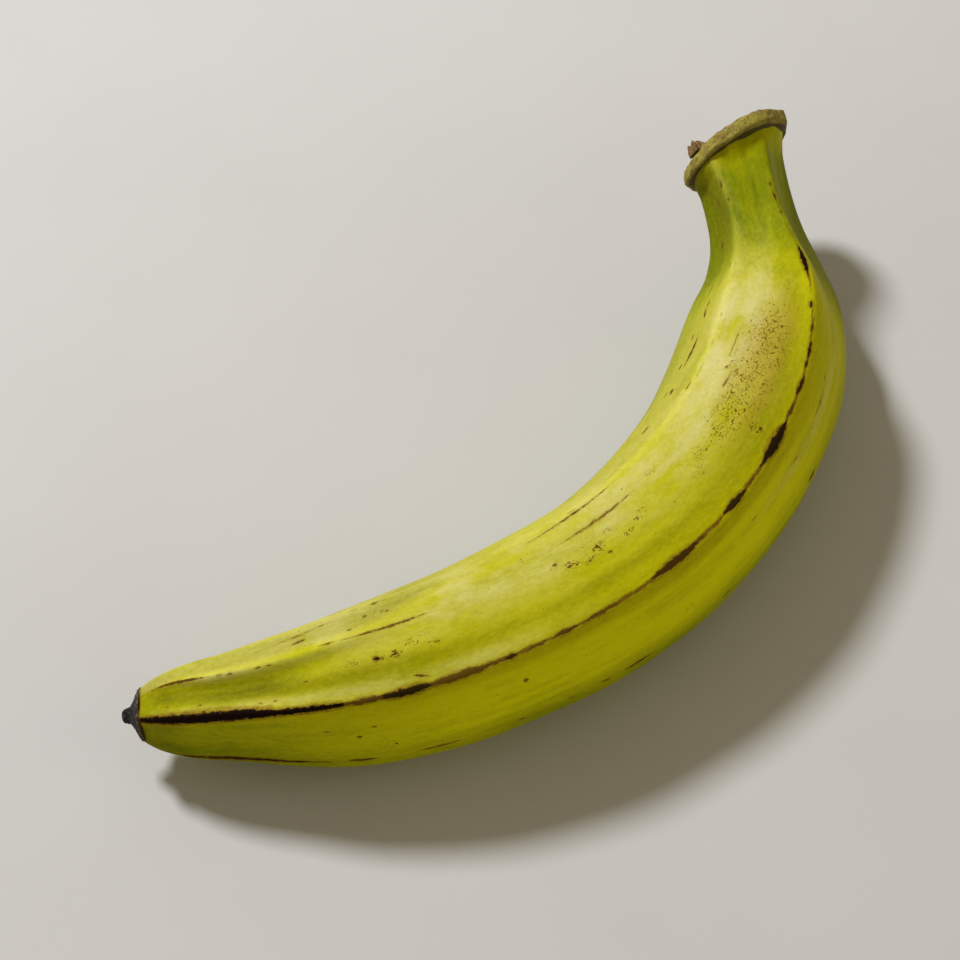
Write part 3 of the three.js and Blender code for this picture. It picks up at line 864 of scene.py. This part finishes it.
# Crown
# The corky pad where the fruit was cut from its bunch. It flares past the neck, its edge has
# dried brown, and the raised cut face is fibrous.
CROWN_PROFILE = [  # mm past the neck's end, and share of CROWN, from inside the neck to the cut
    (-1.8, 0.78), (-0.6, 0.87), (0.0, 0.925), (0.12, 0.965), (0.45, 0.995), (1, 1.01), (2.2, 1.005),
    (3.3, 1), (4, 0.985), (4.35, 0.95), (4.3, 0.915), (4.4, 0.89), (5.2, 0.865), (5.6, 0.82),
    (5.75, 0.72), (5.7, 0.55), (5.55, 0.35), (5.5, 0.2), (5.5, 0.02),
]
STUB_ANGLE = 292  # degrees round, where torn fibres still stand on a small mound
STUB_REACH = 0.86 * CROWN
STUB_HEIGHT = 0.0042
STUB_WIDTH = 0.0023
EDGE_RELIEF = 0.0001  # height of the unevenness of its edge
CUT_RELIEF = 0.00016  # and of its cut face
CORK_GREEN = (0.42, 0.36, 0.05, 1)
CORK_TAN = (0.31, 0.23, 0.045, 1)
CORK_CRACK = (0.09, 0.05, 0.018, 1)
CORK_STRAND = (0.46, 0.38, 0.14, 1)
CORK_SCORCHED = (0.10, 0.05, 0.012, 1)
CORK_UNDER = (0.06, 0.035, 0.012, 1)
CUT_TAN = (0.46, 0.34, 0.13, 1)
CUT_BROWN = (0.27, 0.17, 0.06, 1)
CUT_HEART = (0.20, 0.13, 0.05, 1)
CUT_BUNDLE = (0.10, 0.055, 0.02, 1)
CUT_EDGE = (0.60, 0.48, 0.22, 1)

steps = np.linspace(0, 1, 84)[:, None]
knots = np.linspace(0, 1, len(CROWN_PROFILE))
crown_past = np.interp(steps, knots, [past for past, _ in CROWN_PROFILE]) / 1000
crown_share = np.interp(steps, knots, [share for _, share in CROWN_PROFILE])
crown_angle = np.linspace(-175, 185, 288, endpoint=False)[None]
around = np.radians(crown_angle)
wavy = 0.02 * np.sin(3 * around + 1) + 0.015 * np.sin(7 * around) + 0.01 * np.sin(11 * around + 2)
flared = fade(crown_share, 0.5, 0.95)
crown_reach = crown_share * CROWN * (1 + wavy * flared)
uneven = ripples(crown_past, crown_angle, 5, (60, 400), (5, 40), 30)
crown_reach += EDGE_RELIEF * flared * uneven
on_cut = fade(steps, 0.6, 0.68)
beside_stub = np.radians(turn(crown_angle, STUB_ANGLE)) * crown_reach
stub = bell(np.hypot(beside_stub, crown_reach - STUB_REACH), STUB_WIDTH)
fibrous = ripples(crown_reach, crown_angle, 6, (150, 700), (3, 30), 40)
crown_past = crown_past + on_cut * (0.85 * STUB_HEIGHT * stub + CUT_RELIEF * fibrous)
crown_along = NECK_END + crown_past
crown = closed_skin(
    "crown", skin_point(crown_along, crown_angle, crown_reach), steps * 0.03, crown_angle
)
note_place(crown, crown_along, crown_angle, crown_reach)
# Where its finish changes: on the cut face, close to the neck, along the torn edge of the cut, in
# the middle of it, and at the browned end.
note(crown, "cut", on_cut + 0 * crown_angle)
note(crown, "underside", 1 - fade(steps, 0.1, 0.18) + 0 * crown_angle)
note(crown, "torn_edge", bell(steps - 0.56, 0.06) + 0 * crown_angle)
note(crown, "heart", fade(steps, 0.8, 0.95) + 0 * crown_angle)
note(crown, "browned", bell(turn(crown_angle, 95), 30) * (1 - 0.4 * on_cut))

crown_finish, tree, shader = new_finish("corky crown")
straight = noted_place(tree, "straight")
cut = noted(tree, "cut")
blotches = grain(tree, straight, 260, 4, 0.6)
cork = grain(tree, straight, 1400, 5, 0.7)
strands = grain(tree, stretched(tree, straight, (0.15, 1, 1)), 1900, 4, 0.65)
bundles = specks_at(tree, straight, 1300, reckon(tree, "MULTIPLY", cut, 1.3))
colour = tint(tree, between(tree, blotches, 0.35, 0.65), CORK_GREEN, CORK_TAN)
colour = coat(tree, colour, noted(tree, "browned"), CORK_SCORCHED, 0.75)
colour = coat(tree, colour, between(tree, cork, 0.47, 0.66), CORK_CRACK, 0.72)
colour = coat(tree, colour, between(tree, strands, 0.55, 0.75), CORK_STRAND, 0.6)
colour = coat(tree, colour, cut, CUT_TAN, 0.7)
colour = coat(tree, colour, noted(tree, "torn_edge"), CUT_EDGE, 0.65)
colour = coat(tree, colour, noted(tree, "heart"), CUT_HEART, 0.5)
colour = coat(tree, colour, cut, CUT_BROWN, between(tree, blotches, 0.5, 0.7))
colour = coat(tree, colour, bundles, CUT_BUNDLE, 0.7)
colour = coat(tree, colour, noted(tree, "underside"), CORK_UNDER, 0.85)
tree.links.new(colour, shader.inputs["Base Color"])
shader.inputs["Roughness"].default_value = 0.8
shader.inputs["Specular IOR Level"].default_value = 0.2
height = reckon(tree, "ADD", cork, reckon(tree, "MULTIPLY", strands, 0.8))
height = reckon(tree, "MULTIPLY_ADD", bundles, -0.6, height)
emboss(tree, shader, height, 0.9, 0.0004)
crown.data.materials.append(crown_finish)

# Torn fibres
# Short strands of the stalk that tore instead of cutting. They stand up from the cut face near
# its edge, rooted in it, and have dried brown.
STRANDS = 14
STRAND_THICK = 0.0006
STRAND_TIP = 0.0001
STRAND_BEND = 0.0006  # outwards
STRAND_FOOT = 0.005  # past the neck's end, below the cut face
STRAND_TAN = (0.34, 0.21, 0.06, 1)
STRAND_BROWN = (0.13, 0.07, 0.02, 1)

# Each strand is a row of eight-cornered rings that thin out towards its tip and bend away.
draw = np.random.default_rng(12)
root_angle = STUB_ANGLE + draw.uniform(-7, 7, STRANDS)
root_reach = STUB_REACH + draw.uniform(-0.0013, 0.0013, STRANDS)
tall = STUB_HEIGHT * draw.uniform(0.6, 0.95, STRANDS)
lean_round = draw.uniform(-3, 3, STRANDS)
way = np.linspace(0, 1, 9)[None, :, None]
around = np.radians(np.arange(0, 360, 45))[None, None, :]
thick = STRAND_THICK * (1 - way**3) * (1 + 0.25 * np.sin(3 * around + 9 * way)) + STRAND_TIP
angle_here = root_angle[:, None, None] + lean_round[:, None, None] * way**2
reach_here = root_reach[:, None, None] + thick * np.cos(around) + STRAND_BEND * way**2
angle_here = angle_here + np.degrees(thick * np.sin(around) / STUB_REACH)
along_here = NECK_END + STRAND_FOOT + tall[:, None, None] * way + 0 * around
strand_points = skin_point(along_here, angle_here, reach_here)
count, rows, columns = strand_points.shape[:3]
grid = np.arange(count * rows * columns).reshape(count, rows, columns)
right = np.roll(grid, -1, axis=2)
sides = np.stack([grid[:, :-1], right[:, :-1], right[:, 1:], grid[:, 1:]], -1).reshape(-1, 4)
roots = grid[:, 0, ::-1].reshape(count, columns)
tips = grid[:, -1].reshape(count, columns)
strand_mesh = bpy.data.meshes.new("torn_fibres")
strand_mesh.from_pydata(
    strand_points.reshape(-1, 3).tolist(), [], sides.tolist() + roots.tolist() + tips.tolist()
)
strand_mesh.shade_smooth()
torn_fibres = bpy.data.objects.new("torn_fibres", strand_mesh)
scene.collection.objects.link(torn_fibres)
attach(torn_fibres, "root")

fibre_finish, tree, shader = new_finish("torn fibres")
place = put(tree, "ShaderNodeTexCoord").outputs["Object"]
cork = grain(tree, place, 1600, 4, 0.7)
colour = tint(tree, between(tree, cork, 0.35, 0.65), STRAND_TAN, STRAND_BROWN)
tree.links.new(colour, shader.inputs["Base Color"])
shader.inputs["Roughness"].default_value = 0.85
emboss(tree, shader, cork, 0.8, 0.0002)
strand_mesh.materials.append(fibre_finish)

# Dried flower
# What is left of the flower at the fruit's tip: a wrinkled black cone with a blunt knob, and
# round its foot the papery ring where the petals stood.
FLOWER = 0.0052  # how far it stands out from the ring
RING = 0.0068  # radius of the ring
FLOWER_PROFILE = [  # share of FLOWER out from the ring, and share of RING, from the knob inwards
    (1, 0.02), (1, 0.13), (0.96, 0.2), (0.88, 0.25), (0.75, 0.27), (0.62, 0.3), (0.5, 0.4),
    (0.38, 0.54), (0.25, 0.7), (0.13, 0.85), (0.04, 0.97), (0, 1.03), (-0.05, 1.05), (-0.11, 1.03),
    (-0.12, 0.97), (-0.14, 0.8),
]
FLUTES = 0.07  # depth of the cone's flutes, in shares of its reach
CRUMBS = 0.00014  # height of the crumbled relief of the cone
RUFFLE = 0.03  # unevenness of the ring's reach, in shares of it
CURL = 0.0003  # and how far the ring's edge curls up and down
FLOWER_BLACK = (0.010, 0.009, 0.008, 1)
FLOWER_GREY = (0.075, 0.068, 0.058, 1)
PAPER_BROWN = (0.055, 0.034, 0.018, 1)
PAPER_TAN = (0.20, 0.14, 0.075, 1)

steps = np.linspace(0, 1, 76)[:, None]
knots = np.linspace(0, 1, len(FLOWER_PROFILE))
flower_out = np.interp(steps, knots, [out for out, _ in FLOWER_PROFILE]) * FLOWER
flower_share = np.interp(steps, knots, [share for _, share in FLOWER_PROFILE])
flower_angle = np.linspace(-175, 185, 180, endpoint=False)[None]
flower_reach = flower_share * RING * np.ones_like(flower_angle)
cone = fade(steps, 0.05, 0.3) * (1 - fade(steps, 0.62, 0.72))
flower_reach *= 1 + FLUTES * cone * ripples(flower_out, flower_angle, 21, (30, 200), (4, 13), 12)
crumbled = fade(steps, 0.02, 0.08) * (1 - fade(steps, 0.62, 0.7))
rubble = ripples(flower_out, flower_angle, 24, (300, 1200), (5, 30), 40)
flower_reach += CRUMBS * crumbled * rubble
ring_edge = bell(steps - 0.78, 0.07)
ruffled = ripples(flower_out, flower_angle, 22, (0, 60), (5, 24), 16)
flower_reach *= 1 + RUFFLE * ring_edge * ruffled
curled = ripples(0 * flower_out, flower_angle, 23, (0, 1), (4, 22), 16)
flower_out = flower_out + CURL * ring_edge * curled
flower = closed_skin(
    "dried_flower", skin_point(-flower_out, flower_angle, flower_reach), steps * 0.015, flower_angle
)
note_place(flower, -flower_out, flower_angle, flower_reach)
note(flower, "ring", fade(steps, 0.64, 0.74) + 0 * flower_angle)

flower_finish, tree, shader = new_finish("dried flower")
straight = noted_place(tree, "straight")
crumbs = grain(tree, straight, 1500, 5, 0.7)
strands = grain(tree, stretched(tree, straight, (0.25, 1, 1)), 1300, 4, 0.6)
colour = tint(tree, between(tree, crumbs, 0.4, 0.7), FLOWER_BLACK, FLOWER_GREY)
paper = tint(tree, between(tree, strands, 0.4, 0.65), PAPER_BROWN, PAPER_TAN)
colour = tint(tree, noted(tree, "ring"), colour, paper)
tree.links.new(colour, shader.inputs["Base Color"])
shader.inputs["Roughness"].default_value = 0.7
shader.inputs["Specular IOR Level"].default_value = 0.25
emboss(tree, shader, reckon(tree, "ADD", crumbs, strands), 0.9, 0.0004)
flower.data.materials.append(flower_finish)
